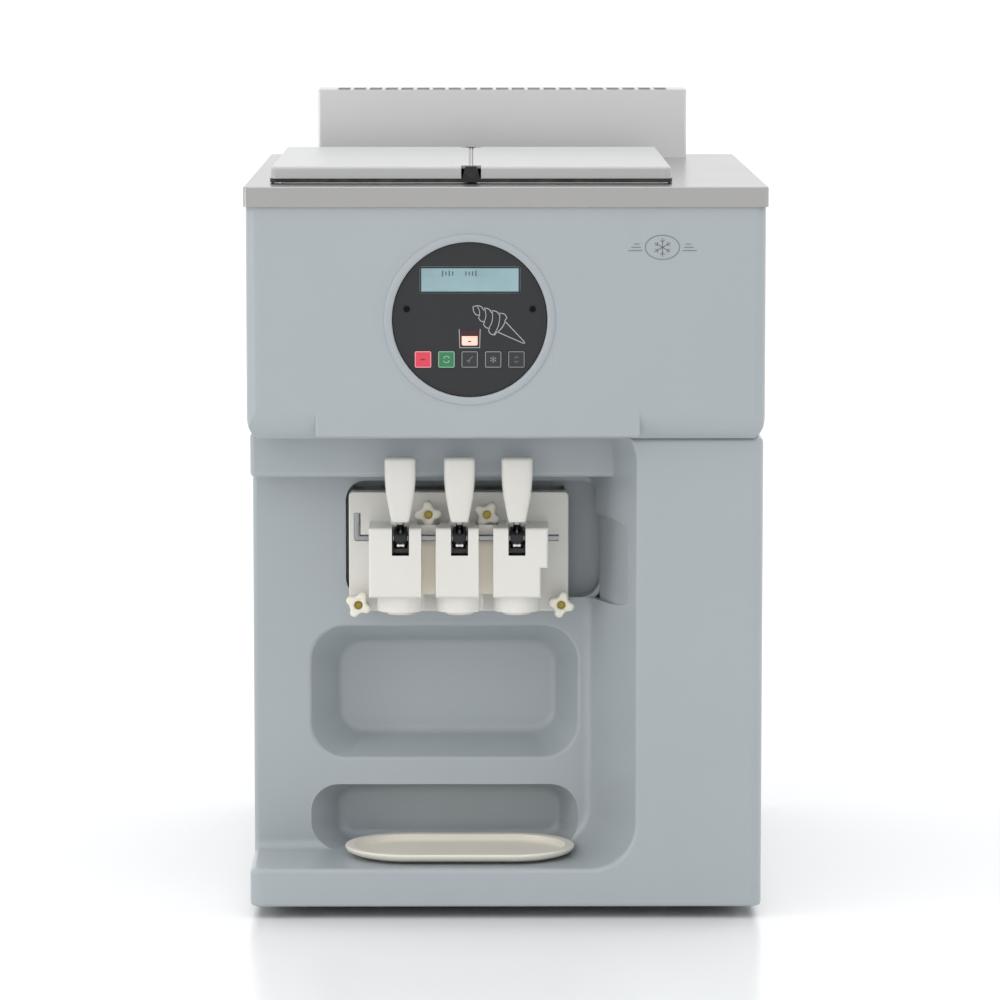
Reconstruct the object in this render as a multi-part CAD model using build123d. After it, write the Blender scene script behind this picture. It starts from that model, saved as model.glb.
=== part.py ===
from build123d import *
import math
import os

# Countertop twin-flavour soft ice cream machine. Millimetres, +X to the right seen from the
# front, +Y to the back, +Z up. The origin is on the bench, under the middle of the machine.
# Depths are counted backwards from the front edge of the steel deck, and at() turns one into Y.

# ---------------------------------------------------------------- driving dimensions
total_depth = 715  # deck plus the cable gland behind it
deck_width = 520
deck_depth = 700
deck_top = 740
deck_rim = 20  # height of the deck's folded rim
sheet = 1.5  # gauge of the folded steel
panel_gauge = 1.2
body_half = 258  # half width of the plastic fronts and of the side panels
corner = 12  # radius of the body's vertical front edges
foot_height = 12
fascia_depth = 200  # how far the plastic fronts return along the sides
hood_bottom = 488  # where the head fascia ends and the lower fascia begins
machine_top = 815  # top of the air chimney

wall = 5  # lower fascia
head_wall = 4
column_depth = 25  # front plane of the lower fascia
beam_depth = 82  # face of the cross beam under the hood
back_depth = 140  # back plane of the cup recess
niche_depth = 195  # bottom of the two niches pressed into the back plane
lip_depth = 33  # where the niches start to cut the slanted wall
recess_floor = 51
beam_bottom = 442
wall_x_front = 131.5  # slanted right wall of the recess, at the front plane
wall_x_back = 87  # the same wall at the back plane

panel_x = -36  # centre of the round control panel
panel_z = 608
panel_radius = 77
button_side = 16.5
button_x = (-82.4, -59.1, -36, -12.7, 10.4)
button_z = 568.4
button_names = ("stop", "run", "clean", "chill", "scroll")

handle_x = (-106, -46.4, 11.5)
handle_names = ("left", "centre", "right")
pivot_depth = 82
pivot_z = 380.6
rod_radius = 3.5
fit = 0.05  # radial clearance of a running fit
piston_depth = 100
piston_radius = 11
head_block = (-138, 43)  # left and right faces of the dispense block
head_front = 60
plate_front = 120
plate_back = 139.5
block_top = 393
block_bottom = 306

knob_places = {
    "upper_left": (-78, 402),
    "upper_right": (-18.7, 402),
    "lower_left": (-149.4, 309.5),
    "lower_right": (57, 309.5),
}
stud_radius = 3

cylinder_x = (-103, 9)
cylinder_z = 364
cylinder_bore = 36
cylinder_radius = 44
shaft_radius = 8
drive_x = -47
motor_z = 175
motor_pulley_radius = 22
gearbox_pulley_radius = 50
belt_depths = (562, 580)
bulkhead_depth = 205
post_x = 234.5

lid_middle = -34.5  # the two lids meet here
lid_half = 200.5
lid_depths = (65, 505)
lid_bottom = 745
lid_top = 757
hopper_walls = ((-224, -44.5), (-24.5, 155))
hopper_depths = (80, 490)
hopper_floor = 575
feed_depth = 400

fan_z = 590
fan_radius = 105
chimney_half = 204
chimney_front = 620

front = -total_depth / 2


# ---------------------------------------------------------------- helpers
def at(depth):
    return front + depth


def block(x0, x1, d0, d1, z0, z1):
    centre = Pos((x0 + x1) / 2, at((d0 + d1) / 2), (z0 + z1) / 2)
    return centre * Box(x1 - x0, d1 - d0, z1 - z0)


def facing(depth):
    # drawing plane seen from the front: its x is X and its y is Z
    return Plane.XZ.offset(-at(depth))


def slab(outline, d0, d1):
    return extrude(facing(d1) * outline, amount=d1 - d0)


def flat(outline, z0, z1):
    return extrude(Plane.XY.offset(z0) * outline, amount=z1 - z0)


def rounded(x0, x1, z0, z1, radius):
    return Pos((x0 + x1) / 2, (z0 + z1) / 2) * RectangleRounded(x1 - x0, z1 - z0, radius)


def rounded_plan(x0, x1, d0, d1, radius):
    return rounded(x0, x1, at(d0), at(d1), radius)


def rod_x(x0, x1, depth, z, radius):
    return Pos((x0 + x1) / 2, at(depth), z) * Rot(0, 90, 0) * Cylinder(radius, x1 - x0)


def rod_y(d0, d1, x, z, radius):
    return slab(Pos(x, z) * Circle(radius), d0, d1)


def rod_z(z0, z1, x, depth, radius):
    return flat(Pos(x, at(depth)) * Circle(radius), z0, z1)


def join(pieces):
    total = pieces[0]
    for piece in pieces[1:]:
        total += piece
    return total


def save(name, shape):
    export_step(shape, f"parts/{name}.step")


# ---------------------------------------------------------------- cabinet
def feet():
    places = [(x, d) for x in (-215, 215) for d in (110, 650)]
    pads = [rod_z(0, foot_height, x, d, 20) - rod_z(-1, 4, x, d, 8) for x, d in places]
    return Compound(children=[pad.solid() for pad in pads])


def base_pan():
    low = foot_height
    half = 245.5
    outer = block(-half, half, 31.5, 694, low, low + 18)
    inner = block(-half + sheet, half - sheet, 31.5 + sheet, 694 - sheet, low + sheet, low + 19)
    return outer - inner


def frame_posts():
    posts = []
    base = foot_height + sheet
    for x in (-post_x, post_x):
        for d in (222, 670):
            outer = block(x - 9, x + 9, d - 12, d + 12, base, deck_top - sheet)
            posts.append(outer - block(x - 7.4, x + 7.4, d - 10.4, d + 10.4, base - 1, deck_top))
    return posts


def gearbox_rails():
    top = cylinder_z - 86
    rails = [block(x - 9, x + 9, 234, 658, top - 36, top - 24) for x in (-post_x, post_x)]
    rails += [block(-post_x - 9, post_x + 9, d, d + 24, top - 24, top - 12) for d in (484, 510)]
    return rails + [block(x - 15, x + 15, 480, 538, top - 12, top) for x in (-120, 26)]


def bulkhead():
    back = bulkhead_depth + 3
    plate = block(-243, 243, bulkhead_depth, back, foot_height + sheet, 556)
    for x in cylinder_x:
        plate -= rod_y(bulkhead_depth - 1, back + 1, x, cylinder_z, cylinder_radius + 0.3)
    for x, z in knob_places.values():
        plate -= rod_y(bulkhead_depth - 1, back + 1, x, z, stud_radius)
    return plate


def support_frame():
    pieces = frame_posts() + gearbox_rails() + [bulkhead()]
    return Compound(children=[piece.solid() for piece in pieces])


def top_deck():
    half = deck_width / 2
    low = deck_top - deck_rim
    outer = flat(rounded_plan(-half, half, 0, deck_depth, 4), low, deck_top)
    outer = fillet(outer.faces().sort_by(Axis.Z)[-1].edges(), 1.5)
    under = rounded_plan(-half + sheet, half - sheet, sheet, deck_depth - sheet, 2.6)
    deck = outer - flat(under, low - 1, deck_top - sheet)
    for x0, x1 in hopper_walls:
        hole = rounded_plan(x0 - 2, x1 + 2, hopper_depths[0] - 2, hopper_depths[1] + 2, 27)
        deck -= flat(hole, deck_top - 5, deck_top + 1)
    duct = block(-190, 190, chimney_front + 10, deck_depth - 12, deck_top - 5, deck_top + 1)
    return deck - duct


def exhaust_chimney():
    half = chimney_half
    outer = block(-half, half, chimney_front, deck_depth, deck_top, machine_top)
    outer = fillet(outer.edges().filter_by(Axis.Z), 2.4)
    inner = block(
        -half + sheet, half - sheet, chimney_front + sheet, deck_depth - sheet,
        deck_top - 1, machine_top - sheet,
    )
    shell = outer - inner
    pitch = 17.6
    count = 21
    for i in range(count):
        x = (i - (count - 1) / 2) * pitch
        shell -= block(x - 6.8, x + 6.8, chimney_front + 6, deck_depth - 8, machine_top - 4, machine_top + 1)
    return shell


def side_panel(side):
    x0, x1 = sorted((side * (body_half - panel_gauge), side * body_half))
    panel = block(x0, x1, fascia_depth + 0.4, 696, foot_height + 2, deck_top - 2)
    i0, i1 = sorted((side * (body_half - 12), side * body_half))
    for d0, d1 in ((fascia_depth + 0.4, fascia_depth + 1.6), (694.8, 696)):
        panel += block(i0, i1, d0, d1, foot_height + 2, deck_top - 2)
    for column in (0, 1):
        for row in range(11):
            d0 = 290 + column * 165
            z0 = 90 + row * 17
            slot = Plane.YZ * rounded(at(d0), at(d0 + 130), z0, z0 + 6, 2.9)
            panel -= extrude(slot, amount=body_half + 10, both=True) & block(
                x0 - 1, x1 + 1, d0 - 5, d0 + 140, z0 - 1, z0 + 7
            )
    return panel


def rear_panel():
    panel = block(-256, 256, 696.4, 697.6, foot_height + 2, deck_top - 2)
    for column in (-1, 0, 1):
        for row in range(13):
            x = column * 140
            z0 = 480 + row * 15
            panel -= slab(rounded(x - 60, x + 60, z0, z0 + 6, 2.9), 690, 700)
    panel -= rod_y(690, 700, -200, 70, 8.1)
    return panel


def cable_gland():
    body = slab(Pos(-200, 70) * RegularPolygon(13, 6), 697.6, 704)
    body += rod_y(704, total_depth, -200, 70, 9.5)
    body += rod_y(690, 697.6, -200, 70, 8)
    body += slab(Pos(-200, 70) * RegularPolygon(13, 6), 691.4, 696.4)
    return body - rod_y(685, total_depth + 1, -200, 70, 4)


# ---------------------------------------------------------------- head fascia and controls
def hood_volume(inset=0):
    # its front and sides roll under on a 40 mm radius that starts at a very slight crease
    roll, crease = 40.5, 0.06
    top = deck_top - 2
    low = hood_bottom + inset
    face = 3 + inset
    r = roll - inset
    rise = math.sqrt(r**2 - (r - crease) ** 2)
    centre_d, centre_z = 3 + roll - crease, 522
    end_d = centre_d - math.sqrt(r**2 - (centre_z - low) ** 2)
    angle = math.asin((centre_z - low) / r) / 2
    middle = (at(centre_d - r * math.cos(angle)), centre_z - r * math.sin(angle))
    side = make_face(
        [
            Line((at(face), top), (at(face), centre_z + rise)),
            ThreePointArc((at(face), centre_z + rise), middle, (at(end_d), low)),
            Line((at(end_d), low), (at(fascia_depth), low)),
            Line((at(fascia_depth), low), (at(fascia_depth), top)),
            Line((at(fascia_depth), top), (at(face), top)),
        ]
    )
    from_side = extrude(Plane.YZ * side, amount=body_half + 5, both=True)
    half = body_half - inset
    centre_x, centre_z = body_half - roll + crease, 513
    end_x = centre_x + math.sqrt(r**2 - (centre_z - low) ** 2)
    angle = math.asin((centre_z - low) / r) / 2
    middle_x = centre_x + r * math.cos(angle)
    middle_z = centre_z - r * math.sin(angle)
    face_lines = [
        Line((-half, top), (half, top)),
        Line((half, top), (half, centre_z + rise)),
        ThreePointArc((half, centre_z + rise), (middle_x, middle_z), (end_x, low)),
        Line((end_x, low), (-end_x, low)),
        ThreePointArc((-end_x, low), (-middle_x, middle_z), (-half, centre_z + rise)),
        Line((-half, centre_z + rise), (-half, top)),
    ]
    from_front = slab(make_face(face_lines), face - 3, fascia_depth)
    plan = rounded_plan(-half, half, face, fascia_depth + 60, corner - inset)
    return from_side & from_front & flat(plan, low - 5, top)


def head_fascia():
    tongue = block(-189.5, 133.5, 3, 40, 491, 560)
    tongue = fillet(tongue.edges().filter_by(Axis.Y).group_by(Axis.Z)[0], 3)
    tongue = fillet(tongue.edges().group_by(Axis.Y)[0].filter_by(Axis.Z), 2)
    shell = hood_volume() + tongue
    hollow = hood_volume(head_wall)
    hollow += block(-250, 250, 190, 201, hood_bottom + head_wall, 715)
    hollow += block(-250, 250, 40, fascia_depth + 1, 560, deck_top)
    shell -= hollow
    shell -= block(-189.5 + head_wall, 133.5 - head_wall, 3 + head_wall, 60, 495, 600)
    shell += rod_y(3 + head_wall, 11.5, panel_x, panel_z, 92)
    dish = Cone(97, 86, 0.8)
    bevel = Cone(85, panel_radius + 0.3, 2.7)
    turn = Rot(-90, 0, 0)
    shell -= Pos(panel_x, at(3.4), panel_z) * turn * dish
    shell -= Pos(panel_x, at(5.15), panel_z) * turn * bevel
    shell -= rod_y(6.4, 9, panel_x, panel_z, panel_radius + 0.3)
    opening = rod_y(8, 14, panel_x, panel_z, 75.8)
    for side in (-1, 1):
        opening -= block(panel_x + side * 70 - 13, panel_x + side * 70 + 13, 9, 12, 613, 624)
    shell -= opening
    for x in (-98.5, 26.5):
        shell -= rod_y(5, 14, x, 618.6, 1.5)
    return shell


def control_panel():
    disc = rod_y(6.5, 9, panel_x, panel_z, panel_radius)
    disc = chamfer(disc.faces().sort_by(Axis.Y)[0].edges(), 0.6)
    disc -= slab(rounded(-86, 14.5, 634, 661, 2), 6, 10)
    for x in button_x:
        disc -= slab(rounded(x - 8.6, x + 8.6, button_z - 8.6, button_z + 8.6, 2), 6, 10)
    disc -= slab(rounded(panel_x - 8, panel_x + 8, 582, 596, 1.5), 6, 10)
    for x in (-98.5, 26.5):
        disc -= rod_y(6, 10, x, 618.6, 1.6)
    return disc


def display_module():
    glass = slab(rounded(-85.6, 14.1, 634.4, 660.6, 1.6), 6.9, 9)
    return glass + block(-87.5, 15.5, 9, 14, 631, 662)


def panel_button(x):
    side = button_side / 2
    cap = slab(rounded(x - side, x + side, button_z - side, button_z + side, 1.8), 5.9, 9.6)
    cap = chamfer(cap.faces().sort_by(Axis.Y)[0].edges(), 0.5)
    collar = slab(rounded(x - 9.6, x + 9.6, button_z - 9.6, button_z + 9.6, 2), 9.4, 10.6)
    return cap + collar + rod_y(10.6, 13, x, button_z, 2)


def low_mix_lamp():
    lens = slab(rounded(panel_x - 7.6, panel_x + 7.6, 582.4, 595.6, 1.3), 6.2, 9)
    lens = chamfer(lens.faces().sort_by(Axis.Y)[0].edges(), 0.4)
    return lens + block(panel_x - 9, panel_x + 9, 9, 16, 581, 597)


def panel_screws():
    screws = []
    for x in (-98.5, 26.5):
        head = rod_y(4.8, 6.5, x, 618.6, 3.2)
        head = chamfer(head.faces().sort_by(Axis.Y)[0].edges(), 0.5)
        head -= rod_y(4, 5.8, x, 618.6, 1.3)
        screws.append((head + rod_y(6.5, 16, x, 618.6, 1.45)).solid())
    return Compound(children=screws)


def control_board():
    board = block(-92, 20, 16, 17.6, 553, 662)
    for x in button_x:
        board += block(x - 3, x + 3, 14, 16, button_z - 3, button_z + 3)
    board += block(-80, -55, 17.6, 27, 600, 640)
    board += block(-30, 5, 17.6, 22, 610, 635)
    return board


# ---------------------------------------------------------------- lower fascia
def wall_x(depth):
    slope = (wall_x_front - wall_x_back) / (back_depth - column_depth)
    return wall_x_front - slope * (depth - column_depth)


def recess_outline(depth, grow):
    lean = math.hypot(1, (wall_x_front - wall_x_back) / (back_depth - column_depth))
    top = hood_bottom + 20 + grow
    return rounded(-400, wall_x(depth) + grow * lean, recess_floor - grow, top, 45 + grow)


def recess(grow=0):
    # the cup space: open to the left, with a slanted right wall and a beam across its top
    near = facing(15) * recess_outline(15, grow)
    far = facing(back_depth + grow) * recess_outline(back_depth + grow, grow)
    space = loft([near, far], ruled=True)
    space = fillet(space.faces().sort_by(Axis.Y)[-1].edges(), 10)
    beam = block(-500, 300, beam_depth + grow, 200, beam_bottom + grow, 560)
    lower_edge = beam.edges().filter_by(Axis.X).group_by(Axis.Y)[0].group_by(Axis.Z)[0]
    return space - fillet(lower_edge, 6)


def niche(outer, inner, radius, grow=0):
    # a tapered hollow pressed into the back plane
    x0, x1, z0, z1 = outer
    i0, i1, j0, j1 = inner
    mouth = rounded(x0 - grow, x1 + grow, z0 - grow, z1 + grow, radius + grow)
    end = rounded(i0 - grow, i1 + grow, j0 - grow, j1 + grow, radius - 10 + grow)
    space = loft([facing(back_depth) * mouth, facing(niche_depth + grow) * end], ruled=True)
    space = fillet(space.faces().sort_by(Axis.Y)[-1].edges(), 10)
    return space + slab(mouth, back_depth - 14, back_depth)


def relief(x1, z0, z1, grow=0):
    # where the pocket runs on into the slanted right wall
    start_x = wall_x(lip_depth) + grow - 1
    corners = [
        (-60, at(back_depth + 1)),
        (x1 + grow, at(back_depth + 1)),
        (x1 + grow, at(back_depth - 10)),
        (start_x, at(lip_depth)),
        (-60, at(lip_depth)),
    ]
    wedge = flat(make_face(Polyline(*corners, close=True)), z0 - grow, z1 + grow)
    round_off = min(30, (z1 - z0) / 2 - 1) + grow
    window = rounded(-100, start_x + 7, z0 - grow, z1 + grow, round_off)
    return wedge & slab(window, lip_depth - 1, back_depth + 2)


upper_niche = ((-199.5, 75, 146, 283), (-170, 52, 164.5, 260), 36)
lower_niche = ((-199.5, 75, recess_floor, 118), (-171, 57, recess_floor, 108), 28)
head_pocket = (-163, 97, 312, 432.5)
pocket_depth = 168


def fascia_cuts(grow):
    x0, x1, z0, z1 = head_pocket
    pocket = rounded(x0 - grow, x1 + grow, z0 - grow, z1 + grow, 20 + grow)
    return [
        niche(*upper_niche, grow),
        niche(*lower_niche, grow),
        slab(pocket, back_depth - 14, pocket_depth + grow),
        relief(97, 312, 400, grow),
    ]


def lower_fascia():
    top = hood_bottom - 0.3
    body = block(-body_half, body_half, column_depth, fascia_depth, foot_height, top)
    body = fillet(body.edges().filter_by(Axis.Z).group_by(Axis.Y)[0], corner)
    underside = body.faces().sort_by(Axis.Z)[0].edges()
    body = fillet([e for e in underside if e.center().Y < at(fascia_depth - 1)], 4)
    body -= recess()
    near_front = [e for e in body.edges() if abs(e.center().Y - at(column_depth)) < 0.2]
    mouth = [e for e in near_front if e.center().Z > 40 and -250 < e.center().X < 200]
    body = fillet(mouth, 5)
    left = [e for e in body.edges() if abs(e.center().X + body_half) < 0.1]
    left = [e for e in left if at(27) < e.center().Y < at(fascia_depth - 1)]
    body = fillet(left, 5)
    cuts = fascia_cuts(0)
    body -= cuts[0]
    rim = [e for e in body.edges() if abs(e.bounding_box().min.Y - at(back_depth)) < 0.6]
    rim = [e for e in rim if abs(e.bounding_box().max.Y - at(back_depth)) < 0.6]
    rim = [e for e in rim if e.center().X > -250 and 140 < e.center().Z < 290 and e.center().X < 90]
    body = fillet(rim, 4)
    for cut in cuts[1:]:
        body -= cut
    inside = block(
        -body_half + wall, body_half - wall, column_depth + wall, fascia_depth + 1,
        foot_height - 1, hood_bottom + 1,
    )
    inside = fillet(inside.edges().filter_by(Axis.Z).group_by(Axis.Y)[0], corner - wall)
    inside -= recess(wall)
    for cut in fascia_cuts(wall):
        inside -= cut
    body -= inside
    body -= block(-156, 61, pocket_depth - 5, pocket_depth + 20, 317, 424)
    for x, z in knob_places.values():
        body -= rod_y(back_depth - 10, fascia_depth + 5, x, z, stud_radius + 1)
    return body


# ---------------------------------------------------------------- dispense head
def dispense_head():
    x0, x1 = head_block
    plate = slab(rounded(-159.4, 64.6, 300.6, 423, 5), plate_front, plate_back)
    plate = fillet(plate.faces().sort_by(Axis.Y)[0].edges(), 1.5)
    front_block = block(x0, x1, head_front, plate_front, 352, block_top)
    front_block += block(x0, 35.7, head_front, plate_front, 322, 353)
    head = plate + fillet(front_block.edges().group_by(Axis.Y)[0], 3)
    for x in handle_x:
        # rounded outlet boss under each valve
        head += rod_z(block_bottom, 325, x, 90, 24) & block(x - 30, x + 30, head_front, 114, 300, 330)
    for x in (-77.8, -19.8):
        head -= block(x - 7.4, x + 7.4, head_front - 1, 88, 300, block_top + 1)
    for x in handle_x:
        head -= rod_z(block_bottom - 1, block_top + 1, x, piston_depth, piston_radius + fit)
        head -= block(x - 8.6, x + 8.6, head_front - 1, piston_depth, 365, block_top + 1)
    for x in cylinder_x:
        head -= rod_y(piston_depth, plate_back + 1, x, 345, 8)
    # the middle valve draws from both cylinders through a cross passage
    head -= rod_x(cylinder_x[0], cylinder_x[1], 129, 345, 5)
    head -= rod_y(piston_depth, 132, handle_x[1], 345, 5)
    for x, z in list(knob_places.values())[:2]:
        head -= rod_y(89, plate_front, x, z, 15)
    for x, z in knob_places.values():
        head -= rod_y(plate_front - 1, plate_back + 1, x, z, stud_radius + 0.3)
    return head - rod_x(x0 - 5, x1 + 5, pivot_depth, pivot_z, rod_radius + fit)


def outlet_nozzles():
    nozzles = []
    for x in handle_x:
        ring = rod_z(block_bottom - 5, block_bottom, x, piston_depth, 14)
        star = Pos(x, at(piston_depth)) * RegularPolygon(9, 6)
        star += Pos(x, at(piston_depth)) * RegularPolygon(9, 6, rotation=30)
        nozzles.append((ring - flat(star, block_bottom - 6, block_bottom + 1)).solid())
    return Compound(children=nozzles)


def piston(x):
    # draw valve: a plunger with a window that the lever's finger lifts
    body = rod_z(316, 397, x, piston_depth, piston_radius)
    body = chamfer(body.faces().sort_by(Axis.Z)[-1].edges(), 1)
    for z in (322, 358):
        groove = rod_z(z, z + 3, x, piston_depth, piston_radius + 1)
        body -= groove - rod_z(z - 1, z + 4, x, piston_depth, piston_radius - 1.5)
    return body - block(x - 5.6, x + 5.6, piston_depth - 20, piston_depth + 20, 368.5, 391)


def lever(x):
    # steel lever: hub on the pivot rod, stem up into the handle, finger back into the plunger
    hub = rod_x(x - 7.6, x + 7.6, pivot_depth, pivot_z, 7)
    lean = math.degrees(math.atan2(30, 24))
    stem = Pos(x, at(pivot_depth), pivot_z) * Rot(lean, 0, 0) * Pos(0, 0, 17) * Cylinder(4, 34)
    tang = rod_z(398, 430, x, 52, 3.4)
    finger = block(x - 5, x + 5, pivot_depth, piston_depth, pivot_z - 3.6, pivot_z + 3.6)
    tip = rod_x(x - 5, x + 5, piston_depth, pivot_z, 3.6)
    body = hub + stem + tang + finger + tip
    return body - rod_x(x - 20, x + 20, pivot_depth, pivot_z, rod_radius + fit)


def handle(x):
    # tapered grip, wider at the top
    centre = Pos(x, at(52))
    sections = [
        Plane.XY.offset(406) * (centre * RectangleRounded(19, 15, 5)),
        Plane.XY.offset(430) * (centre * RectangleRounded(28, 19, 6)),
        Plane.XY.offset(448) * (centre * RectangleRounded(31.5, 22, 7)),
        Plane.XY.offset(466) * (centre * RectangleRounded(31.5, 22, 7)),
    ]
    grip = loft(sections, ruled=True)
    grip = fillet(grip.faces().sort_by(Axis.Z)[-1].edges(), 4)
    return grip - rod_z(400, 430, x, 52, 3.4)


def pivot_rod():
    end_x = -150
    rod = rod_x(end_x, 54, pivot_depth, pivot_z, rod_radius)
    elbow = Pos(end_x, at(pivot_depth), pivot_z) * Sphere(rod_radius)
    return rod + elbow + rod_z(pivot_z, 406, end_x, pivot_depth, rod_radius)


def star_knob(x, z):
    lobes = [Pos(x, z) * Circle(8.6)]
    for i in range(4):
        angle = math.radians(45 + 90 * i)
        lobes.append(Pos(x + 8.6 * math.cos(angle), z + 8.6 * math.sin(angle)) * Circle(4.9))
    grip = slab(join(lobes), 98, 114)
    grip += rod_y(114, plate_front - 0.3, x, z, 7.5)
    return grip - rod_y(90, plate_front + 5, x, z, stud_radius + fit)


def head_studs():
    studs = [rod_y(100, 214, x, z, stud_radius).solid() for x, z in knob_places.values()]
    return Compound(children=studs)


def cylinder_seals():
    # for each cylinder a gasket behind the dispense head and a lip seal round the beater shaft
    seals = []
    for x in cylinder_x:
        gasket = rod_y(plate_back, plate_back + 2.5, x, cylinder_z, 42)
        seals.append((gasket - rod_y(plate_back - 1, plate_back + 4, x, cylinder_z, cylinder_bore)).solid())
        ring = rod_y(464, 470, x, cylinder_z, 14)
        seals.append((ring - rod_y(460, 475, x, cylinder_z, shaft_radius + fit)).solid())
    return Compound(children=seals)


def drip_tray():
    def stadium(inset):
        return rounded_plan(-164 + inset, 71 - inset, 42 + inset, 172 - inset, 64.5 - inset)

    low = recess_floor + 0.5
    foot = Plane.XY.offset(low) * stadium(16)
    lip = Plane.XY.offset(low + 6) * stadium(0)
    tray = loft([foot, lip], ruled=True) + flat(stadium(0), low + 6, 62)
    tray = fillet(tray.faces().sort_by(Axis.Z)[-1].edges(), 1.5)
    return tray - flat(stadium(11), low + 3, 63)


# ---------------------------------------------------------------- freezing and drive
def freezing_cylinder(x):
    start = plate_back + 2.5
    body = rod_y(start, start + 4, x, cylinder_z, 46)
    body += rod_y(start + 4, 470, x, cylinder_z, cylinder_radius)
    for i in range(16):
        body += rod_y(230 + i * 14, 239 + i * 14, x, cylinder_z, cylinder_radius + 4)
    body -= rod_y(start - 1, 464, x, cylinder_z, cylinder_bore)
    body -= rod_y(460, 475, x, cylinder_z, 14)
    feed = rod_z(cylinder_z, 430, x, feed_depth, 9.3)
    for px, pz in knob_places.values():
        body -= rod_y(start - 1, 216, px, pz, stud_radius + 0.3)
    return body - feed


def beater(x):
    shaft = rod_y(455, 505, x, cylinder_z, shaft_radius)
    shaft += rod_y(452, 456, x, cylinder_z, 35)
    ring = rod_y(150, 156, x, cylinder_z, 35) - rod_y(149, 157, x, cylinder_z, 27)
    cage = shaft + ring
    turns = 20
    step = (452 - 156) / turns
    for i in range(turns):
        # short bars step round the bore like a two-start scraper
        for start in (0, 180):
            angle = math.radians(start + i * 12)
            px = x + 31 * math.cos(angle)
            pz = cylinder_z + 31 * math.sin(angle)
            cage += rod_y(155 + i * step, 158 + (i + 1) * step, px, pz, 3.9)
    for i in (6, 13):
        d = 156 + i * step
        cage += rod_y(d, d + 4, x, cylinder_z, 34) - rod_y(d - 1, d + 5, x, cylinder_z, 27)
    return cage


def mix_feed_tubes():
    tubes = []
    for x in cylinder_x:
        tube = rod_z(cylinder_z + cylinder_radius - 4, 640, x, feed_depth, 9)
        tube += rod_z(hopper_floor + 1.2, hopper_floor + 7, x, feed_depth, 15)
        tube -= rod_z(cylinder_z, 636, x, feed_depth, 6)
        tube -= rod_y(feed_depth - 30, feed_depth, x, hopper_floor + 14, 2.5)
        tubes.append(tube.solid())
    return Compound(children=tubes)


def gearbox():
    low, high = cylinder_z - 46, cylinder_z + 46
    housing = slab(rounded(-158, 64, low, high, 18), 476, 540)
    housing += slab(rounded(-162, 68, low - 4, high + 4, 20), 504, 512)
    housing += block(-140, -100, 476, 540, low - 40, low + 6) + block(6, 46, 476, 540, low - 40, low + 6)
    for x in cylinder_x:
        housing -= rod_y(470, 508, x, cylinder_z, shaft_radius + fit)
    return housing - rod_y(520, 545, drive_x, cylinder_z, shaft_radius + fit)


def pulley(radius, z, shaft_start):
    d0, d1 = belt_depths
    wheel = rod_y(d0 - 3, d1 + 3, drive_x, z, radius + 5)
    wheel -= rod_y(d0, d1, drive_x, z, radius + 6) - rod_y(d0 - 1, d1 + 1, drive_x, z, radius)
    if radius > 40:
        for i in range(6):
            angle = math.radians(60 * i)
            px = drive_x + 29 * math.cos(angle)
            pz = z + 29 * math.sin(angle)
            wheel -= rod_y(d0 - 5, d1 + 5, px, pz, 9)
    return wheel + rod_y(shaft_start, d1 + 6, drive_x, z, shaft_radius)


def drive_belt():
    def loop(offset):
        upper = Pos(drive_x, cylinder_z) * Circle(gearbox_pulley_radius + offset)
        lower = Pos(drive_x, motor_z) * Circle(motor_pulley_radius + offset)
        return make_hull((upper + lower).edges())

    d0, d1 = belt_depths
    return slab(loop(3.8), d0 + 1, d1 - 1) - slab(loop(0.3), d0, d1)


def drive_motor():
    body = rod_y(400, 540, drive_x, motor_z, 62)
    for i in range(24):
        angle = math.radians(15 * i)
        px = drive_x + 63 * math.cos(angle)
        pz = motor_z + 63 * math.sin(angle)
        body += rod_y(415, 525, px, pz, 2.4)
    body += block(drive_x - 70, drive_x + 70, 430, 510, foot_height + sheet, motor_z - 50)
    body += block(drive_x + 40, drive_x + 78, 440, 500, motor_z + 10, motor_z + 60)
    return body - rod_y(510, 545, drive_x, motor_z, shaft_radius + fit)


def compressor():
    low = foot_height + sheet + 14
    shell = rod_z(low, 232, 150, 330, 68)
    shell = fillet(shell.faces().sort_by(Axis.Z)[-1].edges(), 30)
    shell += rod_z(120, 124, 150, 330, 71)
    foot = block(75, 225, 255, 405, low - 4, low)
    for x in (90, 210):
        for d in (270, 390):
            foot += rod_z(foot_height + sheet, low - 3, x, d, 11)
    shell += block(206, 232, 305, 355, 110, 190)
    return shell + foot


def condenser():
    core = block(-196, 196, 522, 562, 476, 706)
    for side in (-1, 1):
        x0, x1 = sorted((side * 196, side * 200))
        core += block(x0, x1, 518, 566, 470, 712)
    for i in range(7):
        z = 495 + i * 32
        for side in (-1, 1):
            x0, x1 = sorted((side * 199, side * 208))
            core += rod_x(x0, x1, 532, z, 4.5) + rod_x(x0, x1, 552, z, 4.5)
            x0, x1 = sorted((side * 205, side * 211))
            core += block(x0, x1, 530, 554, z - 4.5, z + 4.5)
    return core


def fan_blade():
    hub = rod_y(576, 604, 0, fan_z, 24)
    for i in range(5):
        blade = block(20, fan_radius, 588, 591, -26, 26)
        blade = fillet(blade.edges().filter_by(Axis.Y).group_by(Axis.X)[-1], 14)
        blade = Pos(0, -at(589.5), 0) * blade
        blade = Rot(28, 0, 0) * blade
        hub += Pos(0, at(589.5), fan_z) * Rot(0, 72 * i, 0) * blade
    return hub - rod_y(596, 610, 0, fan_z, 4 + fit)


def fan_motor():
    body = rod_y(607, 660, 0, fan_z, 42)
    body += rod_y(597, 608, 0, fan_z, 4)
    for side in (-1, 1):
        x0, x1 = sorted((side * 36, side * 213))
        body += block(x0, x1, 640, 644, fan_z - 12, fan_z + 12)
    return body


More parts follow.
